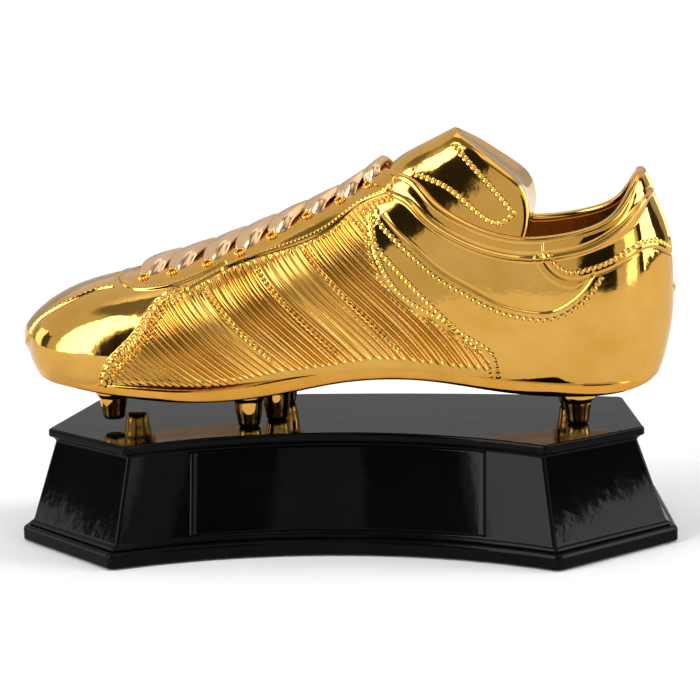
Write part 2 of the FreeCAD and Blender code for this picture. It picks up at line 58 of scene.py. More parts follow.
def spline(knots, values, even):
    """Cubic spline. Even ends have no slope, odd ends have no curvature."""
    knots = np.asarray(knots, float)
    values = np.asarray(values, float)
    count = len(knots)
    gaps = np.diff(knots)
    slopes = np.diff(values) / gaps
    matrix = np.zeros((count, count))
    right = np.zeros(count)
    for i in range(1, count - 1):
        matrix[i, i - 1: i + 2] = gaps[i - 1], 2 * (gaps[i - 1] + gaps[i]), gaps[i]
        right[i] = 6 * (slopes[i] - slopes[i - 1])
    if even:
        matrix[0, :2] = 2 * gaps[0], gaps[0]
        right[0] = 6 * slopes[0]
        matrix[-1, -2:] = gaps[-1], 2 * gaps[-1]
        right[-1] = -6 * slopes[-1]
    else:
        matrix[0, 0] = matrix[-1, -1] = 1
    bends = np.linalg.solve(matrix, right)

    def at(t):
        t = np.asarray(t, float)
        i = np.clip(np.searchsorted(knots, t) - 1, 0, count - 2)
        h = gaps[i]
        a = (knots[i + 1] - t) / h
        b = (t - knots[i]) / h
        return (a * values[i] + b * values[i + 1]
                + ((a ** 3 - a) * bends[i] + (b ** 3 - b) * bends[i + 1]) * h * h / 6)
    return at


def smooth(value):
    value = np.clip(value, 0.0, 1.0)
    return value * value * (3 - 2 * value)


def curve_through(points, step=0.4):
    """Evenly spaced points on a smooth open line through the given ones."""
    points = np.asarray(points, float)
    chord = np.concatenate([[0], np.cumsum(np.linalg.norm(np.diff(points, axis=0), axis=1))])
    axes = [spline(chord, points[:, k], False) for k in range(points.shape[1])]
    fine = np.stack([axis(np.linspace(0, chord[-1], 1200)) for axis in axes], -1)
    length = np.concatenate([[0], np.cumsum(np.linalg.norm(np.diff(fine, axis=0), axis=1))])
    count = max(int(length[-1] / step), 2)
    even = np.linspace(0, length[-1], count)
    return np.stack([np.interp(even, length, fine[:, k]) for k in range(points.shape[1])], -1)


def unit(vectors):
    return vectors / np.maximum(np.linalg.norm(vectors, axis=-1, keepdims=True), 1e-12)


def grid_normals(points, wrap_rows=False, wrap_columns=False):
    def slope(array, axis, wrap):
        if wrap:
            return np.roll(array, -1, axis) - np.roll(array, 1, axis)
        return np.gradient(array, axis=axis)
    return unit(np.cross(slope(points, 0, wrap_rows), slope(points, 1, wrap_columns)))


def make_mesh(name, points, faces, material, normals=None, node=None, place=BOOT):
    mesh = bpy.data.meshes.new(name)
    points = (np.asarray(points, float) + place) * UNIT
    if isinstance(faces, np.ndarray):
        used = np.unique(faces)
        faces = np.searchsorted(used, faces)
        points = points[used]
        normals = None if normals is None else np.asarray(normals, float)[used]
        sides = faces.shape[1]
        mesh.vertices.add(len(points))
        mesh.vertices.foreach_set("co", points.astype(np.float32).ravel())
        mesh.loops.add(faces.size)
        mesh.loops.foreach_set("vertex_index", faces.astype(np.int32).ravel())
        mesh.polygons.add(len(faces))
        mesh.polygons.foreach_set("loop_start", (np.arange(len(faces)) * sides).astype(np.int32))
        mesh.update(calc_edges=True)
    else:
        mesh.from_pydata([tuple(p) for p in points], [], faces)
    mesh.validate()
    mesh.shade_smooth()
    if normals is not None:
        mesh.normals_split_custom_set_from_vertices(np.asarray(normals, float).tolist())
    mesh.materials.append(material)
    piece = bpy.data.objects.new(name, mesh)
    bpy.context.scene.collection.objects.link(piece)
    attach(piece, "root")
    if node:
        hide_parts(*([node] if isinstance(node, str) else node))
    return piece


def grid_faces(rows, columns, wrap_rows=False, wrap_columns=False):
    r = np.arange(rows if wrap_rows else rows - 1)
    c = np.arange(columns if wrap_columns else columns - 1)
    r, c = np.meshgrid(r, c, indexing="ij")
    r2, c2 = (r + 1) % rows, (c + 1) % columns
    corners = (r * columns + c, r2 * columns + c, r2 * columns + c2, r * columns + c2)
    return np.stack(corners, -1).reshape(-1, 4)


def facing(quads, sense):
    """The same faces, turned over when sense is negative."""
    return quads if sense > 0 else quads[:, ::-1]


def join(parts):
    """One set of points and four-sided faces from several."""
    starts = np.cumsum([0] + [len(points) for points, _ in parts])
    return np.concatenate([points for points, _ in parts]), np.concatenate([
        faces + start for (_, faces), start in zip(parts, starts)])


# ---------------------------------------- the last, the form under the whole boot

# Sections of the last: x, highest z, half width, height of the widest line, underside reach.
LAST = (
    (-145.5, 92.2, 0.0, 92.2, 0.0), (-144.8, 95.0, 5.5, 92.0, 4.0), (-143.3, 97.3, 11.0, 91.2, 7.5),
    (-140.4, 100.2, 17.8, 89.8, 11.5), (-136, 103.8, 24.8, 88.3, 15), (-128, 108.8, 31.8, 87.2, 18),
    (-116, 113.7, 38, 86.6, 19.5), (-100, 117.6, 42.6, 86.2, 20.5), (-80, 122, 45.5, 86, 22),
    (-58, 128.2, 46.5, 86, 23), (-35, 136.6, 44, 87, 23), (-12, 146.3, 39.8, 89, 22),
    (8, 156.2, 36.8, 91, 22),
    (28, 171, 34.8, 93, 24), (50, 184.3, 34, 94.5, 29), (75, 190.5, 34.2, 95.5, 34),
    (100, 186, 34.8, 97, 38),
    (118, 177, 32.2, 99, 40), (129, 166.5, 27.8, 101.5, 40), (136, 153, 21.6, 104.5, 36),
    (140.6, 141.8, 15, 107.5, 28), (143.5, 132.6, 9, 110.2, 18), (144.6, 123.6, 4.6, 111, 10),
    (144.9, 112, 0.0, 112, 0.0),
)
SOLE_TOP = (
    (-150, 87), (-142, 80.8), (-134, 77.9), (-122, 77.1), (-105, 75.4), (-85, 74.2), (-60, 73.6),
    (-40, 75.4),
    (-20, 78.2), (0, 80.4), (14, 81.4), (28, 81.1), (42, 79.4), (56, 77.4), (70, 75.5), (86, 73.9),
    (110, 72.6),
    (132, 73.6), (150, 78.5),
)
SOLE_LOW = (
    (-150, 82.5), (-142, 76.8), (-134, 73.4), (-122, 71.8), (-105, 70.1), (-85, 68.3), (-63, 67.5),
    (-42, 68.2),
    (-20, 70.6), (0, 73.6), (14, 74.5), (28, 74.3), (42, 73), (56, 70.8), (70, 68.5), (86, 66.9),
    (105, 66.3),
    (120, 67), (132, 69), (150, 74),
)
last = np.array(LAST)
last_steps = np.sqrt(np.diff(last[:, 0]) ** 2 + np.diff(last[:, 2]) ** 2
                     + 0.3 * np.diff(last[:, 1] - last[:, 3]) ** 2)
last_u = np.concatenate([[0], np.cumsum(last_steps)])
LAST_END = last_u[-1]
last_x = spline(last_u, last[:, 0], True)
last_mid = spline(last_u, last[:, 3], True)
last_half = spline(last_u, last[:, 2], False)
last_rise = spline(last_u, last[:, 1] - last[:, 3], False)
last_drop = spline(last_u, last[:, 4], False)
sole_top = spline(*np.array(SOLE_TOP).T, False)
sole_low = spline(*np.array(SOLE_LOW).T, False)
fine_u = np.linspace(0, LAST_END, 4000)
fine_x = np.maximum.accumulate(last_x(fine_u))


def station(x):
    return np.interp(x, fine_x, fine_u)


def last_point(u, phi, side):
    """Point of the last at station u. phi is 0 on the widest line and 90 degrees on the ridge."""
    reach = last_drop(u) + (last_rise(u) - last_drop(u)) * (0.5 + 0.5 * np.tanh(phi / 0.38))
    fullness = 0.70 + 0.30 * np.tanh((phi + 0.16) / 0.22)
    y = last_half(u) * np.maximum(np.cos(phi), 0.0) ** fullness * side
    z = last_mid(u) + reach * np.sin(phi)
    return np.stack(np.broadcast_arrays(last_x(u), y, z), -1)


def last_normal(u, phi, side):
    du = np.where(u > LAST_END / 2, -0.2, 0.2)
    dp = np.where(phi > 0, -0.004, 0.004)
    along = (last_point(u + du, phi, side) - last_point(u, phi, side)) * np.sign(du)[..., None]
    across = (last_point(u, phi + dp, side) - last_point(u, phi, side)) * np.sign(dp)[..., None]
    return unit(np.cross(along, across)) * -np.asarray(side)[..., None]


phi_fine = np.linspace(-1.4, np.pi / 2, 1500)


def phi_at(x, z):
    """Angle at which the last has height z at x, below the ridge."""
    result = []
    for one_x, one_z in zip(np.atleast_1d(x), np.atleast_1d(z)):
        heights = last_point(station(one_x), phi_fine, 1)[:, 2]
        result.append(np.interp(one_z, heights, phi_fine))
    return np.array(result)


def on_last(side_line, side, lift=0.0, step=0.4):
    """A line drawn in the side view, laid on the last's surface."""
    line = curve_through(side_line, step)
    phi = phi_at(line[:, 0], line[:, 1])
    u = station(line[:, 0])
    return last_point(u, phi, side) + lift * last_normal(u, phi, side)


# ---------------------------------------- relief worked into a surface

BATCH = 20000


def seam_frame(points, normals, line, reach):
    """For points near a line: their index, signed distance across it and place along it."""
    low, high = line.min(0) - reach, line.max(0) + reach
    near = np.flatnonzero(((points > low) & (points < high)).all(-1))
    chosen = points[near].astype(np.float32)
    line32 = line.astype(np.float32)
    best = np.empty(len(chosen), int)
    for start in range(0, len(chosen), BATCH):
        block = chosen[start: start + BATCH]
        gaps = (block ** 2).sum(-1)[:, None] + (line32 ** 2).sum(-1)[None] - 2 * block @ line32.T
        best[start: start + BATCH] = gaps.argmin(1)
    tangent = unit(np.gradient(line, axis=0))
    run = np.concatenate([[0], np.cumsum(np.linalg.norm(np.diff(line, axis=0), axis=1))])
    offset = points[near] - line[best]
    along = (offset * tangent[best]).sum(-1)
    beyond = ((best == 0) & (along < -0.5)) | ((best == len(line) - 1) & (along > 0.5))
    across = np.cross(normals[near], tangent[best])
    signed = (offset * unit(across)).sum(-1)
    keep = (np.abs(signed) < reach) & ~beyond
    return near[keep], signed[keep], (run[best] + along)[keep]


def bump(value):
    return np.where(np.abs(value) < 1, (1 - np.minimum(value ** 2, 1)) ** 2, 0)


def stitches(distance, run, offset, pitch, width, height):
    """A row of raised stitches lying in a shallow furrow beside a seam."""
    across = bump((distance - offset) / width)
    phase = np.abs(((run / pitch) % 1) * 2 - 1)
    return across * (height * bump(phase * 1.08) - 0.28 * height)


def braid(distance, run, offset, pitch, width, height):
    """Two twisted strands side by side, as on a roped seam."""
    across = np.clip(1 - ((distance - offset) / width) ** 2, 0, 1) ** 0.5
    lean = np.cos(2 * np.pi * (run / pitch + 0.45 * np.abs(distance - offset) / width))
    return across * height * (0.62 + 0.38 * lean)


def inside(points, outline):
    """Even-odd test of side-view points against an outline."""
    x, z = points[..., 0], points[..., 2]
    result = np.zeros(x.shape, bool)
    outline = np.asarray(outline, float)
    for (x1, z1), (x2, z2) in zip(outline, np.roll(outline, -1, 0)):
        crosses = (z1 > z) != (z2 > z)
        with np.errstate(divide="ignore", invalid="ignore"):
            result ^= crosses & (x < (x2 - x1) * (z - z1) / (z2 - z1) + x1)
    return result


# ---------------------------------------- outlines seen from the side, (x, z)

RIM = (
    (18, 163), (34, 159), (41, 152), (49, 146), (66, 138), (83, 135), (97, 136), (111, 139),
    (121, 144), (128, 153),
    (133, 163),
)
RIM_SEAM = (
    (22, 155.2), (31, 151.5), (38, 145), (47, 138.5), (65, 130.5), (83, 127.5), (97, 128.5),
    (110, 131.5), (119, 136),
    (127, 142.5), (134, 151), (150, 152),
)
TOE_SEAM = (
    (-147, 82), (-141.9, 88.2), (-138.5, 95.9), (-128.7, 104.1), (-117.6, 109.7), (-107, 113.3),
    (-101.3, 114.3),
)
QUARTER_FRONT = (
    (-103.2, 70), (-103.2, 74.4), (-96.5, 86.8), (-85.2, 98.5), (-78.8, 109.3), (-72.2, 114.2),
    (-66, 115.2),
)
QUARTER_TOP = (
    (-67, 114.6), (-50, 123), (-30, 129.9), (-15.7, 134.3), (-0.8, 141.7), (10.8, 150.2),
    (17.4, 153), (24, 155.2),
)
EYESTAY_EDGE = (
    (-103, 118.2), (-94.9, 114.8), (-85.7, 114.3), (-76, 115.6), (-60.2, 120.6), (-50, 125.4),
)
RIB_REAR = (
    (14.5, 147.5), (16.7, 130.6), (30.3, 109.5), (45.3, 100.5), (59.4, 91.1), (66.6, 85.7),
    (68.6, 76.8), (69, 72),
)
HEEL_SEAM = (
    (20.5, 146), (25.7, 140.5), (35.4, 131.6), (46.8, 121.8), (56.6, 116), (70.7, 108.4),
    (84.9, 104.9), (92.2, 104.8),
    (100.4, 108.3), (107.4, 114.2), (112, 120.7),
)
PATCH_EDGE = (
    (90.2, 129.5), (91.4, 126.6), (95.4, 121.8), (101.8, 119.1), (109.9, 120.2), (117.6, 122.5),
    (127.4, 127.4),
    (134.2, 130), (138.4, 129.2), (142.0, 126.4), (143.3, 125.2),
)
RIB_PITCH = 3.5
ROW_TOPS = (-57, -35.5, -14, 7.5)
COUNTER_BACK = (
    (118, 121.5), (127, 126), (134, 128.8), (138.5, 128.6), (143, 124.2), (160, 117), (160, 60),
)
PANEL_OUTLINES = (
    ("heel_patch", list(PATCH_EDGE) + [(160, 118), (160, 175), (89, 175)]),
    ("heel_counter", list(HEEL_SEAM) + list(COUNTER_BACK) + list(RIB_REAR)[::-1]),
    ("side_panel", list(QUARTER_FRONT) + list(QUARTER_TOP)[1:-1] + list(RIB_REAR)[1:]),
    ("eyestay", list(EYESTAY_EDGE) + list(QUARTER_TOP)[2:] + [(34, 200), (-103, 200)]),
    ("toe_strip", list(TOE_SEAM) + [(-101.3, 160), (-160, 160)]),
)
BAND = list(RIM) + [(160, 175)] + list(RIM_SEAM)[::-1]
OPENING = list(RIM) + [(133, 230), (18, 230)]


# ---------------------------------------- upper: one smooth surface with every seam in relief

ROWS, HALF_COLUMNS = 780, 300
row_u = np.linspace(0, LAST_END, ROWS)
half_phi = np.empty((ROWS, HALF_COLUMNS))
for row, u in enumerate(row_u):
    line = last_point(u, phi_fine, 1)
    feather = phi_fine[np.argmax(line[:, 2] > sole_top(line[0, 0]) - 2.0)]
    sweep = np.linspace(feather, np.pi / 2, 900)
    line = last_point(u, sweep, 1)
    run = np.concatenate([[0], np.cumsum(np.linalg.norm(np.diff(line, axis=0), axis=1) + 1e-7)])
    half_phi[row] = np.interp(np.linspace(0, run[-1], HALF_COLUMNS), run, sweep)
grid_phi = np.concatenate([half_phi, half_phi[:, -2::-1]], 1)
COLUMNS = grid_phi.shape[1]
grid_side = np.where(np.arange(COLUMNS) < HALF_COLUMNS, -1.0, 1.0)
base = last_point(row_u[:, None], grid_phi, grid_side[None])
base_normals = grid_normals(base)
base_normals[:3] = (-1, 0, 0)
base_normals[-3:] = (1, 0, 0)
outward = np.sign((base_normals[ROWS // 2, HALF_COLUMNS]) @ np.array((0, 0, 1)))
base_normals[3:-3] *= outward
flat_base = base.reshape(-1, 3)
flat_normals = base_normals.reshape(-1, 3)
relief = np.zeros(len(flat_base))
side_of = np.tile(grid_side, ROWS)


def carve(outline, reach, profile):
    """Adds a profile of (distance, run) along an outline to the relief, on both sides of the boot."""
    for side in (-1, 1):
        line = on_last(outline, side)
        rows = np.flatnonzero((side_of == side) & (np.abs(flat_base[:, 1]) > 0))
        near, distance, run = seam_frame(flat_base[rows], flat_normals[rows], line, reach)
        relief[rows[near]] += profile(distance * -side, run)


def band_profile(distance, run):
    padding = np.clip(1 - ((distance + 4.0) / 4.2) ** 2, 0, 1) ** 0.6 * 0.75
    return padding * smooth((1.2 - distance) / 1.2)


def ribs(points):
    """Uneven flutes that fan down and back from the panel's top edge and fade just above the sole."""
    x, z = points[:, 0], points[:, 2]
    h = np.clip((z - 75) / 50, 0, 1.6)
    front_fan = 1.4 * h - 0.425 * h ** 2
    rear_fan = 0.5 * h + 0.35 * h ** 2
    share = smooth((x + 85) / 150)
    across = x + 50 * (front_fan * (1 - share) + rear_fan * share)
    across = across + 0.5 * np.sin(across / 5.3) + 0.35 * np.sin(across / 2.1 + z / 17)
    wave = np.cos(2 * np.pi * across / RIB_PITCH)
    crest = np.sign(wave) * np.abs(wave) ** 0.75
    swing = 0.82 + 0.18 * np.sin(across / 7.7 + 1.3)
    fade = smooth((z - sole_top(x) - 0.6) / 5)
    return 0.72 * crest * fade * swing


signed = {}
for name, outline in PANEL_OUTLINES:
    member = inside(flat_base, outline)
    signed[name] = np.where(member, 9.0, -9.0)
edges = (
    ("toe_strip", TOE_SEAM, 1), ("side_panel", QUARTER_FRONT, -1), ("side_panel", QUARTER_TOP, -1),
    ("side_panel", RIB_REAR, -1), ("eyestay", EYESTAY_EDGE, 1), ("eyestay", QUARTER_TOP[1:], 1),
    ("heel_counter", HEEL_SEAM, -1), ("heel_counter", RIB_REAR, 1), ("heel_counter", PATCH_EDGE, -1),
    ("heel_patch", PATCH_EDGE, 1),
)
for name, outline, sense in edges:
    for side in (-1, 1):
        rows = np.flatnonzero(side_of == side)
        near, distance, _ = seam_frame(flat_base[rows], flat_normals[rows], on_last(outline, side), 4.0)
        picked = rows[near]
        reading = distance * -side * sense
        present = signed[name][picked]
        signed[name][picked] = np.where(np.abs(reading) < np.abs(present), reading, present)
HEIGHTS = {
    "toe_strip": 0.55, "side_panel": 0.15, "eyestay": 0.8, "heel_counter": 0.5, "heel_patch": 0.75,
}
for name, height in HEIGHTS.items():
    relief += height * smooth((signed[name] + 0.5) / 1.0)
relief += ribs(flat_base) * smooth((signed["side_panel"] - 0.6) / 1.6)

carve(TOE_SEAM, 6, lambda d, s: braid(d, s, 1.4, 2.4, 1.1, 0.42) + stitches(d, s, -1.6, 2.0, 0.8, 0.35))
carve(QUARTER_FRONT, 8, lambda d, s: braid(d, s, 0.4, 4.0, 2.3, 1.35) + 0.4 * bump((d + 3.2) / 0.8)
      + stitches(d, s, -4.9, 2.6, 0.9, 0.5))
carve(QUARTER_TOP, 8, lambda d, s: stitches(d, s, -1.7, 2.7, 1.15, 0.75)
      + stitches(d, s, 1.9, 1.9, 0.6, 0.35) - 0.35 * bump(d / 0.9))
carve(EYESTAY_EDGE, 6, lambda d, s: stitches(d, s, 1.9, 1.9, 0.6, 0.35))
carve(RIB_REAR, 8, lambda d, s: stitches(d, s, 1.2, 2.5, 1.0, 0.7)
      + stitches(d, s, -2.2, 2.5, 0.9, 0.5))
carve(HEEL_SEAM, 8, lambda d, s: stitches(d, s, -3.3, 2.8, 1.0, 0.65) - 0.3 * bump((d - 0.4) / 1.0))
carve(PATCH_EDGE, 8, lambda d, s: stitches(d, s, 2.7, 2.6, 1.0, 0.6) - 0.3 * bump((d + 0.5) / 1.0))
carve(RIM, 9, band_profile)
carve(RIM_SEAM, 5, lambda d, s: 0.95 * bump(d / 1.5) - 0.25 * bump((d - 2.2) / 1.0))
for top in ROW_TOPS:
    start_z = float(np.interp(top, *np.array(QUARTER_TOP).T)) - 3.5
    end_z = float(sole_top(top + 38)) + 7
    drop = start_z - end_z
    row = [(top + drop * k * (0.86 + 0.1 * k), start_z - drop * k) for k in (0, 0.25, 0.5, 0.75, 1)]
    carve(row, 4, lambda d, s: stitches(d, s, 0, 2.6, 1.25, 0.75))
throat = smooth((6.6 - np.abs(flat_base[:, 1])) / 1.2) * smooth((flat_base[:, 0] + 96) / 3)
relief -= 1.5 * (throat * (flat_base[:, 2] > 110))
relief *= np.repeat(smooth(np.minimum(row_u, LAST_END - row_u) / 3.0), COLUMNS)

shaped = (flat_base + flat_normals * relief[:, None]).reshape(ROWS, COLUMNS, 3)
shaped_normals = grid_normals(shaped) * outward
shaped_normals[:2] = (-1, 0, 0)
shaped_normals[-2:] = (1, 0, 0)


# ---------------------------------------- procedural materials

def node(tree, kind, **settings):
    item = tree.nodes.new(kind)
    for key, value in settings.items():
        if key.startswith("in_"):
            item.inputs[key[3:].replace("_", " ")].default_value = value
        else:
            setattr(item, key, value)
    return item


def new_material(name):
    material = bpy.data.materials.new(name)
    material.use_nodes = True
    tree = material.node_tree
    tree.nodes.clear()
    shader = node(tree, "ShaderNodeBsdfPrincipled")
    out = node(tree, "ShaderNodeOutputMaterial")
    tree.links.new(shader.outputs["BSDF"], out.inputs["Surface"])
    return material, tree, shader


def mottled(tree, coordinates, scale, stops, detail=4.0):
    noise = node(tree, "ShaderNodeTexNoise", in_Scale=scale, in_Detail=detail, in_Roughness=0.55)
    tree.links.new(coordinates.outputs["Object"], noise.inputs["Vector"])
    ramp = node(tree, "ShaderNodeValToRGB")
    ramp.color_ramp.elements[0].position = 0.3
    ramp.color_ramp.elements[0].color = (*stops[0], 1)
    ramp.color_ramp.elements[1].position = 0.7
    ramp.color_ramp.elements[1].color = (*stops[1], 1)
    tree.links.new(noise.outputs["Fac"], ramp.inputs["Fac"])
    return ramp


def finish_nodes(tree, shader, coordinates, rough, rough_scale, bumps):
    """Uneven polish, and one or more layers of fine bump."""
    noise = node(tree, "ShaderNodeTexNoise", in_Scale=rough_scale, in_Detail=5.0)
    tree.links.new(coordinates.outputs["Object"], noise.inputs["Vector"])
    spread = node(tree, "ShaderNodeMapRange")
    spread.inputs["From Min"].default_value = 0.3
    spread.inputs["From Max"].default_value = 0.75
    spread.inputs["To Min"].default_value = rough[0]
    spread.inputs["To Max"].default_value = rough[1]
    tree.links.new(noise.outputs["Fac"], spread.inputs["Value"])
    tree.links.new(spread.outputs["Result"], shader.inputs["Roughness"])
    previous = None
    for scale, strength, depth in bumps:
        texture = node(tree, "ShaderNodeTexNoise", in_Scale=scale, in_Detail=3.0)
        tree.links.new(coordinates.outputs["Object"], texture.inputs["Vector"])
        layer = node(tree, "ShaderNodeBump", in_Strength=strength, in_Distance=depth)
        tree.links.new(texture.outputs["Fac"], layer.inputs["Height"])
        if previous:
            tree.links.new(previous.outputs["Normal"], layer.inputs["Normal"])
        previous = layer
    tree.links.new(previous.outputs["Normal"], shader.inputs["Normal"])


def gold(name, dark, light, rough=(0.035, 0.10), bumps=((55, 0.10, 0.002), (700, 0.03, 0.0004))):
    material, tree, shader = new_material(name)
    coordinates = node(tree, "ShaderNodeTexCoord")
    shader.inputs["Metallic"].default_value = 1.0
    tone = mottled(tree, coordinates, 60, (dark, light))
    tree.links.new(tone.outputs["Color"], shader.inputs["Base Color"])
    finish_nodes(tree, shader, coordinates, rough, 140, bumps)
    return material


def lacquer(name, dark, light, rough=(0.03, 0.09)):
    material, tree, shader = new_material(name)
    coordinates = node(tree, "ShaderNodeTexCoord")
    shader.inputs["IOR"].default_value = 1.15
    tone = mottled(tree, coordinates, 25, (dark, light), 8.0)
    tree.links.new(tone.outputs["Color"], shader.inputs["Base Color"])
    finish_nodes(tree, shader, coordinates, rough, 90, ((45, 0.10, 0.0015), (420, 0.035, 0.0005)))
    return material


GOLD = gold("gold_plating", (0.58, 0.305, 0.055), (0.66, 0.37, 0.085))
GOLD_SOLE = gold("gold_plating_sole", (0.57, 0.265, 0.036), (0.65, 0.32, 0.058), (0.05, 0.12))
GOLD_LACE = gold("gold_plating_laces", (0.64, 0.40, 0.20), (0.73, 0.48, 0.28), (0.16, 0.30))
# The lining and insole gold is lighter than the outer plating: painted light, a lit copy of the same
# plating for the inside of the boot.
GOLD_LINING_PAINTED_LIGHT = gold("gold_plating_lining_painted_light", (0.74, 0.45, 0.12), (0.84, 0.55, 0.19), (0.22, 0.34))
LACQUER = lacquer("black_lacquer", (0.0012, 0.0012, 0.0013), (0.0026, 0.0026, 0.0028))
LACQUER_PLATE = lacquer("black_lacquer_plate", (0.001, 0.001, 0.001), (0.0022, 0.0022, 0.0024),
                        (0.04, 0.10))
STEEL = gold("zinc_plated_steel", (0.50, 0.50, 0.52), (0.66, 0.66, 0.68), (0.22, 0.4))
BRASS = gold("turned_brass", (0.70, 0.50, 0.20), (0.80, 0.62, 0.30), (0.2, 0.35))


def felt(name):
    material, tree, shader = new_material(name)
    coordinates = node(tree, "ShaderNodeTexCoord")
    tone = mottled(tree, coordinates, 900, ((0.010, 0.010, 0.011), (0.035, 0.034, 0.034)), 8.0)
    tree.links.new(tone.outputs["Color"], shader.inputs["Base Color"])
    shader.inputs["Sheen Weight"].default_value = 0.25
    finish_nodes(tree, shader, coordinates, (0.85, 1.0), 300, ((1500, 0.6, 0.0006), (240, 0.3, 0.0008)))
    return material


FELT = felt("black_felt")


# ---------------------------------------- upper pieces, cut from the one surface

faces = grid_faces(ROWS, COLUMNS)
if outward < 0:
    faces = faces[:, ::-1]
middle = base.reshape(-1, 3)[faces].mean(1)
owner = np.full(len(faces), "upper_shell", dtype="U20")
face_signed = {name: values[faces].mean(1) for name, values in signed.items()}
for name in ("toe_strip", "side_panel", "eyestay", "heel_counter", "heel_patch"):
    chosen = face_signed[name] > 0
    if name in ("side_panel", "eyestay"):
        for word, mask in (("_near", middle[:, 1] < 0), ("_far", middle[:, 1] >= 0)):
            owner[chosen & mask] = name + word
    else:
        owner[chosen] = name
owner[inside(middle, BAND)] = "collar_binding"
gone = inside(middle, OPENING)
for name in sorted(set(owner)):
    chosen = faces[(owner == name) & ~gone]
    title = "collar_padding" if name == "collar_binding" else name + "_skin"
    piece = make_mesh(title, shaped.reshape(-1, 3), chosen, GOLD,
                      shaped_normals.reshape(-1, 3), name)

# Collar roll along the rim, and the lining below it.
near_rim = on_last(RIM, -1, -1.0, 0.8)
far_rim = on_last(RIM, 1, -1.0, 0.8)[::-1]
rim_path = np.concatenate([near_rim, far_rim[1:-1]])
for _ in range(6):
    rim_path = (np.roll(rim_path, 1, 0) + 2 * rim_path + np.roll(rim_path, -1, 0)) / 4
tangent = unit(np.roll(rim_path, -1, 0) - np.roll(rim_path, 1, 0))
side_axis = unit(np.cross(tangent, (0, 0, 1.0)))
up_axis = unit(np.cross(side_axis, tangent))
ROLL_SIDES, ROLL_WIDE, ROLL_HIGH = 22, 2.3, 2.1
angle = np.linspace(0, 2 * np.pi, ROLL_SIDES, endpoint=False)
ring = (side_axis[:, None] * np.cos(angle)[None, :, None] * ROLL_WIDE
        + up_axis[:, None] * np.sin(angle)[None, :, None] * ROLL_HIGH)
roll = (rim_path[:, None] + ring).reshape(-1, 3)
roll_faces = grid_faces(len(rim_path), ROLL_SIDES, True, True)
piece = make_mesh("collar_roll", roll, roll_faces, GOLD, None, "collar_binding")

LINING_ROWS, LINING_COLUMNS, LINING_DEPTH = 260, 110, 3.0
lining_u = np.linspace(station(-70), LAST_END - 4, LINING_ROWS)
lining_parts = []
for side in (-1, 1):
    phi_low = np.interp(lining_u, row_u, half_phi[:, 0])
    phi = (phi_low[:, None]
           + (np.pi / 2 - phi_low[:, None]) * np.linspace(0, 1, LINING_COLUMNS)[None])
    points = last_point(lining_u[:, None], phi, side)
    points = points - LINING_DEPTH * last_normal(lining_u[:, None], phi, side)
    quads = grid_faces(LINING_ROWS, LINING_COLUMNS)
    keep = ~inside(points.reshape(-1, 3)[quads].mean(1), OPENING)
    lining_parts.append((points.reshape(-1, 3), facing(quads[keep], side)))
points, lining_faces = join(lining_parts)
# The lining uses the lightened gold, which is painted light inside the boot.
piece = make_mesh("heel_lining", points, lining_faces, GOLD_LINING_PAINTED_LIGHT, None, "upper_shell")


# ---------------------------------------- tongue

TONGUE_DEPTH = 3.4
TONGUE_SIDE = (
    (53, 180.8), (58, 177.3), (65, 172), (74, 165), (80.5, 159), (83.6, 151.5), (83.6, 142),
    (80, 130),
)
TONGUE_FRONT = ((13, 159), (13, 152), (18, 146), (28, 139), (40, 131), (50, 127))
TONGUE_ROWS = (
    ((50.1, 176.9), (58, 168.5), (67, 159), (75.5, 149.1)),
    ((33.3, 164.1), (46.1, 159.5), (58.8, 149.8), (71.6, 143.1), (77.5, 147.4)),
)


def tongue_point(u, phi, side):
    x = last_x(u)
    proud = 2.4 * np.exp(-((x - 24) / 11) ** 2) * smooth((phi - 0.6) / 0.7)
    return last_point(u, phi, side) - (TONGUE_DEPTH - proud)[..., None] * last_normal(u, phi, side)


def side_path(points, apex_x, count):
    """A side-view line in (station, phi), from the ridge at apex_x down to the line's end."""
    apex_z = float(last_point(station(apex_x), np.pi / 2, 1)[2]) - 0.4
    line = curve_through([(apex_x, apex_z)] + list(points), 0.5)
    phi = phi_at(line[:, 0], line[:, 1])
    phi[0] = np.pi / 2
    u = station(line[:, 0])
    place = last_point(u, phi, 1)
    run = np.concatenate([[0], np.cumsum(np.linalg.norm(np.diff(place, axis=0), axis=1))])
    even = np.linspace(0, run[-1], count)
    return np.interp(even, run, u), np.interp(even, run, phi)


ACROSS, DEEP, TURN, BACK = 190, 190, 16, 60
edge_u, edge_phi = side_path(TONGUE_SIDE, 49.5, ACROSS)
front_u, front_phi = side_path(TONGUE_FRONT, 8.0, ACROSS)


def tongue_sheet(share, side):
    """Points at shares of the way from the throat to the edge."""
    u = front_u[:, None] + (edge_u - front_u)[:, None] * share
    phi = front_phi[:, None] + (edge_phi - front_phi)[:, None] * share
    return tongue_point(u, phi, side)


def tongue_half(side):
    """Side skin from the throat to just before the edge, the edge itself, and the gap left there."""
    full = tongue_sheet(np.linspace(0, 1, DEEP), side)
    edge = full[:, -1]
    length = np.linalg.norm(np.diff(full, axis=1), axis=-1).sum(1)
    reach = np.minimum(4.2, np.abs(edge[:, 1]) * 0.9 + 0.4)
    stop = 1 - reach / length
    skin = tongue_sheet(stop[:, None] * np.linspace(0, 1, DEEP), side)
    normals = grid_normals(skin)
    normals *= np.sign(normals[ACROSS // 2, DEEP // 2, 1]) * side
    lift = np.zeros(skin.shape[0] * skin.shape[1])
    for row in TONGUE_ROWS:
        line = on_last(row, side, -TONGUE_DEPTH)
        near, distance, run = seam_frame(skin.reshape(-1, 3), normals.reshape(-1, 3), line, 4)
        lift[near] += stitches(distance, run, 0, 2.7, 1.25, 0.8)
    skin = skin + normals * lift.reshape(skin.shape[:2])[..., None]
    return skin, edge, reach


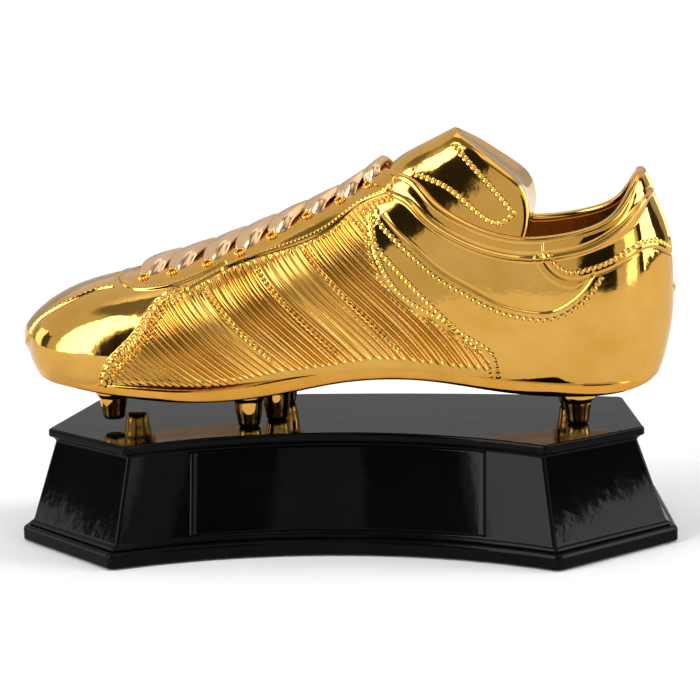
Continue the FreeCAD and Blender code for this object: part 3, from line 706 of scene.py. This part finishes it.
near_skin, near_edge, near_reach = tongue_half(-1)
far_skin, far_edge, far_reach = tongue_half(1)
span = far_edge - near_edge
width = np.maximum(np.linalg.norm(span, axis=1), 1e-6)
share = np.linspace(0, 1, BACK)
start = near_edge + span * (near_reach * 0.5 / (width + 1.0))[:, None]
end = far_edge - span * (far_reach * 0.5 / (width + 1.0))[:, None]
back_face = start[:, None] + (end - start)[:, None] * share[None, :, None]
dish = 2.2 * np.sin(np.pi * share) * np.minimum(width / 40, 1)[:, None]
back_face = back_face - dish[..., None] * np.array((0.70, 0.0, 0.71))


def bend(start, corner, end, t):
    """Point at t on the curve that leaves start towards corner and arrives at end from it."""
    return (1 - t) ** 2 * start + 2 * t * (1 - t) * corner + t ** 2 * end


t = np.linspace(0, 1, TURN + 2)[1:-1][None, :, None]
near_turn = bend(near_skin[:, -1:], near_edge[:, None], back_face[:, :1], t)
far_turn = bend(back_face[:, -1:], far_edge[:, None], far_skin[:, -1:], t)
tongue_grid = np.concatenate([near_skin, near_turn, back_face, far_turn, far_skin[:, ::-1]], 1)
tongue_normals = grid_normals(tongue_grid)
sense = -np.sign(tongue_normals[ACROSS // 2, DEEP // 2, 1])
tongue_normals *= sense
quads = grid_faces(*tongue_grid.shape[:2])
piece = make_mesh("tongue_padded", tongue_grid.reshape(-1, 3), facing(quads, sense), GOLD,
                  tongue_normals.reshape(-1, 3), "tongue")

# ---------------------------------------- laces and eyelets

EYELETS = (
    (-87.2, 117.8), (-74, 120.4), (-57.9, 124.3), (-43.3, 129), (-29.5, 135.5), (-14, 143.5),
    (0.6, 150), (13.7, 157.1),
)
eyelet_phi = phi_at([x for x, _ in EYELETS], [z for _, z in EYELETS])


def lace(start, start_phi, end, end_phi, width, lift, count=110, sides=28):
    """A plump flat lace from a near eyelet over the ridge to a far one, with two folds along it."""
    share = np.linspace(0, 1, count)
    x = start + (end - start) * share
    total = (np.pi / 2 - start_phi) + (np.pi / 2 - end_phi)
    walked = total * share - (np.pi / 2 - start_phi)
    phi = np.pi / 2 - np.abs(walked)
    side = np.where(walked < 0, -1.0, 1.0)
    u = station(x)
    base_line = last_point(u, phi, side)
    normals = last_normal(u, phi, side)
    for _ in range(12):
        base_line[1:-1] = (base_line[:-2] + 2 * base_line[1:-1] + base_line[2:]) / 4
        normals[1:-1] = unit(normals[:-2] + 2 * normals[1:-1] + normals[2:])
    ends = smooth(np.minimum(share, 1 - share) / 0.30)
    path = base_line + normals * (-1.2 + (lift + 0.8) * ends)[:, None]
    tangent = unit(np.gradient(path, axis=0))
    beside = unit(np.cross(tangent, normals))
    above = np.cross(beside, tangent)
    angle = np.linspace(0, 2 * np.pi, sides, endpoint=False)[None] + np.zeros((count, 1))
    twist = 0.9 * np.pi * share[:, None]
    folds = 1 + 0.07 * np.cos(5 * angle + twist) + 0.03 * np.cos(9 * angle - twist)
    close = np.sqrt(np.clip(1 - (1 - np.clip(np.minimum(share, 1 - share) / 0.15, 0, 1)) ** 2, 1e-4, 1))
    half_width = width * ((0.90 + 0.10 * ends) * close)[:, None]
    half_height = 2.6 * ((0.95 + 0.05 * ends) * close)[:, None]
    ring = (beside[:, None] * (np.cos(angle) * folds * half_width)[..., None]
            + above[:, None] * (np.sin(angle) * folds * half_height)[..., None])
    return (path[:, None] + ring).reshape(-1, 3), grid_faces(count, sides, False, True)


LACE_WIDE, LACE_WIDE_LAST, LACE_LIFT = 6.4, 4.6, 2.6
lace_parts = []
for number, (x, _) in enumerate(EYELETS):
    ahead = min(number + 1, len(EYELETS) - 1)
    far_x = EYELETS[ahead][0] if ahead > number else x + 6
    wide = LACE_WIDE if ahead > number else LACE_WIDE_LAST
    lace_parts.append(lace(x, eyelet_phi[number], far_x, eyelet_phi[ahead], wide, LACE_LIFT))
points, lace_faces = join(lace_parts)
piece = make_mesh("laces_plump", points, lace_faces, GOLD_LACE, None, "laces")

RING_STEPS, RING_SIDES = 90, 12
eyelet_parts = []
for (x, _), phi in zip(EYELETS, eyelet_phi):
    for side in (-1, 1):
        u = np.array([station(x)])
        centre = last_point(u, np.array([phi]), side)[0]
        normal = last_normal(u, np.array([phi]), side)[0]
        along = unit(np.cross(normal, (0, 1, 0)))
        beside = np.cross(normal, along)
        angle = np.linspace(0, 2 * np.pi, RING_STEPS, endpoint=False)
        radial = along * np.cos(angle)[:, None] + beside * np.sin(angle)[:, None]
        ring_path = centre + normal * 1.1 + 2.2 * radial
        beads = 0.60 + 0.30 * np.abs(np.cos(angle * 5))
        turn = np.linspace(0, 2 * np.pi, RING_SIDES, endpoint=False)
        ring = (radial[:, None] * np.cos(turn)[None, :, None]
                + normal * np.sin(turn)[None, :, None]) * beads[:, None, None]
        eyelet_parts.append(((ring_path[:, None] + ring).reshape(-1, 3),
                             grid_faces(RING_STEPS, RING_SIDES, True, True)))
points, eyelet_faces = join(eyelet_parts)
piece = make_mesh("eyelet_rings", points, eyelet_faces, GOLD, None, "eyelets")


# ---------------------------------------- outsole and studs

SOLE_PLAN = (
    (-140, 12, 12), (-134, 22, 22), (-122, 31, 31), (-105, 38.5, 38.5), (-85, 43.5, 44.5),
    (-62, 46, 47),
    (-42, 44.5, 45.5), (-20, 40, 41), (0, 36, 36.5), (25, 32.5, 33), (50, 31.5, 32), (75, 32, 32.5),
    (100, 32.5, 32.5), (116, 30.5, 30.5), (128, 25, 25), (135, 16.5, 16.5),
)


def closed_curve(points, count):
    """Evenly spaced points on a smooth closed line."""
    points = np.asarray(points, float)
    padded = np.concatenate([points[-4:], points, points[:5]])
    chord = np.concatenate([[0], np.cumsum(np.linalg.norm(np.diff(padded, axis=0), axis=1))])
    axes = [spline(chord, padded[:, k], False) for k in range(padded.shape[1])]
    fine = np.stack([axis(np.linspace(chord[4], chord[4 + len(points)], 6000)) for axis in axes], -1)
    run = np.concatenate([[0], np.cumsum(np.linalg.norm(np.diff(fine, axis=0), axis=1))])
    even = np.linspace(0, run[-1], count, endpoint=False)
    return np.stack([np.interp(even, run, fine[:, k]) for k in range(points.shape[1])], -1)


near_plan = [(x, -near) for x, near, _ in SOLE_PLAN]
far_plan = [(x, far) for x, _, far in SOLE_PLAN[::-1]]
plan = [(-142.3, 0)] + near_plan + [(138.3, 0)] + far_plan
outline = closed_curve(plan, 1100)
tangent = unit(np.roll(outline, -1, 0) - np.roll(outline, 1, 0))
inward = np.stack([-tangent[:, 1], tangent[:, 0]], -1)
spine = np.stack([np.clip(outline[:, 0], -112, 108), np.zeros(len(outline))], -1)
# (inset, height share): from the middle of the top, over the edge and back to the middle underneath.
EDGE = (
    (9.0, 1.0), (5.0, 1.0), (2.4, 1.0), (1.5, 1.02), (0.9, 1.03), (0.45, 1.0), (0.18, 0.95),
    (0.04, 0.87), (0.0, 0.76),
    (0.02, 0.62), (0.1, 0.46), (0.3, 0.30), (0.62, 0.17), (1.1, 0.08), (1.8, 0.025), (2.8, 0.0),
    (4.5, 0.0), (7.5, 0.0),
)
rings = []
for inset, level in EDGE:
    flat = outline + inward * inset
    low, high = sole_low(flat[:, 0]), sole_top(flat[:, 0])
    rings.append(np.stack([flat[:, 0], flat[:, 1], low + (high - low) * level], -1))
for share in np.linspace(0.08, 1.0, 26):
    flat = (outline + inward * 7.5) * (1 - share) + spine * share
    dish = 0.5 * np.sin(np.pi * min(share * 1.5, 1.0))
    rings.append(np.stack([flat[:, 0], flat[:, 1], sole_low(flat[:, 0]) + dish], -1))
top_rings = []
for share in np.linspace(1.0, 0.1, 8):
    flat = (outline + inward * 9.0) * (1 - share) + spine * share
    top_rings.append(np.stack([flat[:, 0], flat[:, 1], sole_top(flat[:, 0])], -1))
sole = np.stack(top_rings + rings)
sole_normals = grid_normals(sole, False, True)
sense = np.sign((sole_normals[14] * np.concatenate([-inward, np.zeros((len(inward), 1))], 1)).sum())
sole_normals *= sense
quads = grid_faces(sole.shape[0], sole.shape[1], False, True)
piece = make_mesh("outsole_moulded", sole.reshape(-1, 3), facing(quads, sense), GOLD_SOLE, None,
                  "outsole")

STUD_RADIUS, STUD_SIDES = 7.88, 96
STUD_NAMES = ("toe_near", "toe_far", "ball_near", "ball_mid", "ball_far", "heel_near", "heel_far")
for name in STUD_NAMES:
    low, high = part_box("stud_" + name)
    tip = low[2] / UNIT - BOOT[2]
    seat = high[2] / UNIT - BOOT[2]
    centre = ((low[0] + high[0]) / 2 / UNIT - BOOT[0], (low[1] + high[1]) / 2 / UNIT - BOOT[1])
    root = seat - 2.5
    profile = curve_through((
        (0.0, tip), (3.2, tip), (4.3, tip + 0.35), (4.85, tip + 1.2), (5.2, tip + 3.0),
        (5.75, tip + 6.4),
        (6.2, root - 5.4), (6.5, root - 4.3), (7.2, root - 3.7), (7.7, root - 3.0),
        (STUD_RADIUS, root - 2.0), (7.86, root - 0.6),
        (7.8, root + 1.0), (7.7, seat),
    ), 0.16)
    profile[:, 0] = np.clip(profile[:, 0], 0, STUD_RADIUS)
    profile[:, 1] = np.clip(profile[:, 1], tip, seat)
    turn = np.linspace(0, 2 * np.pi, STUD_SIDES, endpoint=False)
    flutes = 1 + 0.012 * np.cos(turn * 3 + 0.5)
    lathe = np.stack([
        centre[0] + profile[:, :1] * np.cos(turn) * flutes,
        centre[1] + profile[:, :1] * np.sin(turn) * flutes,
        np.broadcast_to(profile[:, 1:], (len(profile), STUD_SIDES)),
    ], -1)
    quads = grid_faces(len(profile), STUD_SIDES, False, True)
    normals = grid_normals(lathe, False, True)
    sense = np.sign(normals[len(profile) // 2, 0, 0])
    piece = make_mesh("stud_%s_turned" % name, lathe.reshape(-1, 3), facing(quads, sense), GOLD, None,
                      "stud_" + name)


# ---------------------------------------- plinth boards

def plinth_ring(inset, radius, arc_points=90, corner_points=9):
    """Six-sided plinth outline at an inset, with a hollow front, a bulging back and rounded corners."""
    front = (97.0 - 0.41 * inset, -(65.5 - inset))
    waist = (146.5 - inset, -16.5)
    back = (135.0 - inset, 56.5 - inset)
    hollow_y, bulge_y = -(41.0 - inset), 65.4 - inset

    def arc(start, middle_y):
        half, rise = abs(start[0]), middle_y - start[1]
        size = (half ** 2 + rise ** 2) / (2 * rise)
        reach = math.asin(min(1.0, half / abs(size)))
        angles = np.linspace(-reach, reach, arc_points)
        return np.stack([abs(size) * np.sin(angles), middle_y - size * (1 - np.cos(angles))], -1)

    front_arc = arc(front, hollow_y)
    back_arc = arc(back, bulge_y)[::-1]
    corners = [front_arc, np.array([waist]), back_arc, np.array([(-waist[0], waist[1])])]
    line = np.concatenate(corners)
    chord_in = np.roll(line, 1, 0)
    chord_out = np.roll(line, -1, 0)
    result = []
    for before, at, after in zip(chord_in, line, chord_out):
        first, second = unit(before - at), unit(after - at)
        if float(first @ second) < -0.97:
            result.append(at)
            continue
        reach = radius / math.tan(math.acos(float(first @ second)) / 2)
        reach = min(reach, 4.0)
        for t in np.linspace(0, 1, corner_points):
            result.append(bend(at + first * reach, at, at + second * reach, t))
    return np.array(result)


FLAT_END_PULL = 25000.0


def stacked(name, steps, material, replaced, radius):
    """Board or tapered block from (inset, height) steps, bottom to top, with flat ends."""
    rings = []
    for inset, z in steps:
        ring = plinth_ring(inset, radius)
        rings.append(np.concatenate([ring, np.full((len(ring), 1), z)], 1))
    rings = np.stack(rings)
    rows, columns = rings.shape[:2]
    points = rings.reshape(-1, 3)
    faces = [tuple(face) for face in grid_faces(rows, columns, False, True)]
    corners = points[np.array(faces)]
    normal = np.cross(corners[:, 2] - corners[:, 0], corners[:, 3] - corners[:, 1])
    centre = corners.mean(1)
    if (normal[:, 0] * centre[:, 0]).sum() < 0:
        faces = [face[::-1] for face in faces]
        normal = -normal
    weights = np.zeros_like(points)
    pull = normal * np.linalg.norm(normal, axis=1, keepdims=True)
    for column in range(4):
        np.add.at(weights, np.array(faces)[:, column], pull)
    weights[:columns] += (0, 0, -FLAT_END_PULL)
    weights[-columns:] += (0, 0, FLAT_END_PULL)
    faces.append(tuple(range(columns))[::-1])
    faces.append(tuple(range((rows - 1) * columns, rows * columns)))
    return make_mesh(name, points, faces, material, unit(weights), replaced, PLINTH)


foot_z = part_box("foot_board")[0][2] / UNIT - PLINTH[2]
foot_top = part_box("foot_board")[1][2] / UNIT - PLINTH[2]
cap_low, cap_top = (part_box("cap_board")[k][2] / UNIT - PLINTH[2] for k in (0, 1))


def rounded(low, high, inset, low_round, high_round, steps=6):
    """(inset, height) steps of a board's side with rounded lower and upper edges."""
    result = []
    for t in np.linspace(0, np.pi / 2, steps):
        result.append((inset + low_round * (1 - math.sin(t)), low + low_round * (1 - math.cos(t))))
    for t in np.linspace(0, np.pi / 2, steps):
        result.append((inset + high_round * (1 - math.cos(t)), high - high_round * (1 - math.sin(t))))
    return result


foot_steps = rounded(foot_z, foot_top, 0.0, 0.7, 2.2)
piece = stacked("foot_board_moulded", foot_steps, LACQUER, "foot_board", 3.5)

BODY_FOOT = ((3.2, -0.2), (3.2, 0.7), (3.5, 1.5), (4.3, 1.9), (4.8, 2.1), (5.1, 2.6))
BODY_HEAD = ((17.2, 2.2), (17.1, 1.6), (16.6, 1.0), (15.9, 0.5), (15.6, 0.0))
body_steps = [(inset, foot_top + rise) for inset, rise in BODY_FOOT]
for share in np.linspace(0.08, 0.93, 8):
    body_steps.append((3.5 + 13.5 * share + 0.9, foot_top + (cap_low - foot_top) * share))
body_steps += [(inset, cap_low - drop) for inset, drop in BODY_HEAD]
piece = stacked("base_body_moulded", body_steps, LACQUER, "base_body", 2.0)

cap_steps = rounded(cap_low, cap_top, 14.0, 0.9, 1.4)
piece = stacked("cap_board_moulded", cap_steps, LACQUER, "cap_board", 2.5)

# Blank name plate, bent to the hollow front, with softly raised edges.
PLATE_COLUMNS, PLATE_ROWS, PLATE_HALF = 180, 60, 65
across = np.linspace(-PLATE_HALF, PLATE_HALF, PLATE_COLUMNS)
plate_low, plate_high = 10.4, 46.0
heights = np.linspace(plate_low, plate_high, PLATE_ROWS)


def front_y(x, z):
    """The hollow front of the tapered body at height z."""
    inset = 4.4 + 13.5 * (z - foot_top) / (cap_low - foot_top)
    half, edge = 97.0 - 0.41 * inset, -(65.5 - inset)
    rise = 24.5
    size = (half ** 2 + rise ** 2) / (2 * rise)
    return edge + rise - size + np.sqrt(size ** 2 - x ** 2)


X, Z = np.meshgrid(across, heights, indexing="ij")
border = np.minimum(PLATE_HALF - np.abs(X), np.minimum(Z - plate_low, plate_high - Z))
proud = 0.7 * smooth(border / 0.6) + 0.4 * bump((PLATE_HALF - np.abs(X) - 1.5) / 1.3)
plate = np.stack([X, front_y(X, Z) - proud + 0.15, Z], -1)
normals = grid_normals(plate)
sense = np.sign(-normals[PLATE_COLUMNS // 2, PLATE_ROWS // 2, 1])
quads = grid_faces(PLATE_COLUMNS, PLATE_ROWS)
piece = make_mesh("name_plate_blank", plate.reshape(-1, 3), facing(quads, sense), LACQUER_PLATE,
                  (normals * sense).reshape(-1, 3), "name_plate", PLINTH)


# ---------------------------------------- CAD nodes that stay as they are

# The insole takes the lightened lining gold, which is painted light.
for name, material in (
    ("felt_pad", FELT), ("foot_screws", STEEL), ("fixing_bolts", STEEL), ("fixing_washers", STEEL),
    ("stud_inserts", BRASS), ("insole", GOLD_LINING_PAINTED_LIGHT),
):
    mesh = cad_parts[name].data
    mesh.materials.clear()
    mesh.materials.append(material)


# ---------------------------------------- floor, light and camera

floor_material, tree, shader = new_material("pale_floor")
coordinates = node(tree, "ShaderNodeTexCoord")
tone = mottled(tree, coordinates, 4, ((0.75, 0.75, 0.75), (0.79, 0.79, 0.79)))
tree.links.new(tone.outputs["Color"], shader.inputs["Base Color"])
shader.inputs["Roughness"].default_value = 0.9
mesh = bpy.data.meshes.new("floor")
mesh.from_pydata([(-6, -6, 0), (6, -6, 0), (6, 6, 0), (-6, 6, 0)], [], [(0, 1, 2, 3)])
mesh.materials.append(floor_material)
floor = bpy.data.objects.new("floor", mesh)
bpy.context.scene.collection.objects.link(floor)

world = bpy.data.worlds.new("tent")
bpy.context.scene.world = world
bpy.context.scene.view_settings.view_transform = "Standard"
world.use_nodes = True
tree = world.node_tree
tree.nodes.clear()


def maths(operation, first, second=None, third=None):
    item = node(tree, "ShaderNodeMath", operation=operation)
    for socket, value in zip(item.inputs, (first, second, third)):
        if isinstance(value, (int, float)):
            socket.default_value = value
        elif value is not None:
            tree.links.new(value, socket)
    return item.outputs[0]


def ramp_up(value, start, end):
    item = node(tree, "ShaderNodeMapRange", interpolation_type="SMOOTHSTEP")
    item.inputs["From Min"].default_value = start
    item.inputs["From Max"].default_value = end
    tree.links.new(value, item.inputs["Value"])
    return item.outputs[0]


direction = node(tree, "ShaderNodeTexCoord")
parts = node(tree, "ShaderNodeSeparateXYZ")
tree.links.new(direction.outputs["Generated"], parts.inputs[0])
ripple = node(tree, "ShaderNodeTexNoise", in_Scale=2.2, in_Detail=2.0)
tree.links.new(direction.outputs["Generated"], ripple.inputs["Vector"])
wobble = maths("MULTIPLY", maths("SUBTRACT", ripple.outputs["Fac"], 0.5), 22.0)
forward = maths("MULTIPLY", parts.outputs["Y"], -1.0)
heading = maths("DEGREES", maths("ARCTAN2", parts.outputs["X"], forward))
height = maths("DEGREES", maths("ARCSINE", parts.outputs["Z"]))
height = maths("ADD", height, wobble)
shiver = node(tree, "ShaderNodeTexNoise", in_Scale=45.0, in_Detail=3.0)
tree.links.new(direction.outputs["Generated"], shiver.inputs["Vector"])
ragged = maths("MULTIPLY", maths("SUBTRACT", shiver.outputs["Fac"], 0.5), 5.0)
heading = maths("ADD", heading, ragged)

# Panels of the light tent, in degrees: heading from the front towards +X, its half width,
# height, its half height, softness. Then brightness. Later panels lie over earlier ones.
PANELS = (
    (0, 180, 90, 30, 8, 1.75),
    (0, 180, 90, 14, 6, 0.40),
    (180, 95, 4, 16, 8, 0.55),
    (-8, 60, 46, 6, 3, 0.12),
    (-62, 50, 68, 11, 5, 0.26),
    (21, 12, 12, 17, 2, 0.02),
    (-27, 13, 31, 32, 2, 0.03),
    (-57, 14, 29, 29, 2, 7.5),
    (54, 9, 18, 26, 3, 3.4),
    (97, 27.5, 16, 26, 1, 0.05),
    (95.4, 14.8, 20, 21, 0.4, 7.0),
    (-92, 9, 10, 14, 1, 0.10),
    (-103.9, 8.4, 12, 12, 0.4, 2.6),
)
TENT_LEVEL = 0.86
level = TENT_LEVEL
for centre, half_width, middle_height, half_height, soft, strength in PANELS:
    turned = maths("WRAP", maths("SUBTRACT", heading, float(centre)), 180.0, -180.0)
    beside = ramp_up(maths("ABSOLUTE", turned), half_width + soft / 2, half_width - soft / 2)
    above = ramp_up(maths("ABSOLUTE", maths("SUBTRACT", height, float(middle_height))),
                    half_height + soft / 2, half_height - soft / 2)
    mask = maths("MULTIPLY", beside, above)
    under = maths("MULTIPLY", level, maths("SUBTRACT", 1.0, mask))
    level = maths("ADD", under, maths("MULTIPLY", mask, strength))
background = node(tree, "ShaderNodeBackground")
background.inputs["Color"].default_value = (1, 1, 1, 1)
tree.links.new(level, background.inputs["Strength"])
output = node(tree, "ShaderNodeOutputWorld")
tree.links.new(background.outputs["Background"], output.inputs["Surface"])

camera_data = bpy.data.cameras.new("camera")
camera = bpy.data.objects.new("camera", camera_data)
bpy.context.scene.collection.objects.link(camera)
VIEW_DEGREES, VIEW_TARGET, VIEW_DISTANCE = (7.34, 11.97, 1.9), (4.45, -16.5, 86.79), 1305.87
azimuth, elevation, roll_angle = (math.radians(angle) for angle in VIEW_DEGREES)
back = Vector((math.sin(azimuth) * math.cos(elevation), -math.cos(azimuth) * math.cos(elevation),
               math.sin(elevation)))
right = Vector((math.cos(azimuth), math.sin(azimuth), 0))
up = back.cross(right)
right, up = (math.cos(roll_angle) * right - math.sin(roll_angle) * up,
             math.sin(roll_angle) * right + math.cos(roll_angle) * up)
target = Vector(VIEW_TARGET) * UNIT
location = target + back * VIEW_DISTANCE * UNIT
camera.matrix_world = Matrix([
    (right.x, up.x, back.x, location.x), (right.y, up.y, back.y, location.y),
    (right.z, up.z, back.z, location.z),
    (0, 0, 0, 1),
])
camera_data.sensor_width = 36
camera_data.lens = 153.46
camera_data.clip_end = 50
bpy.context.scene.camera = camera
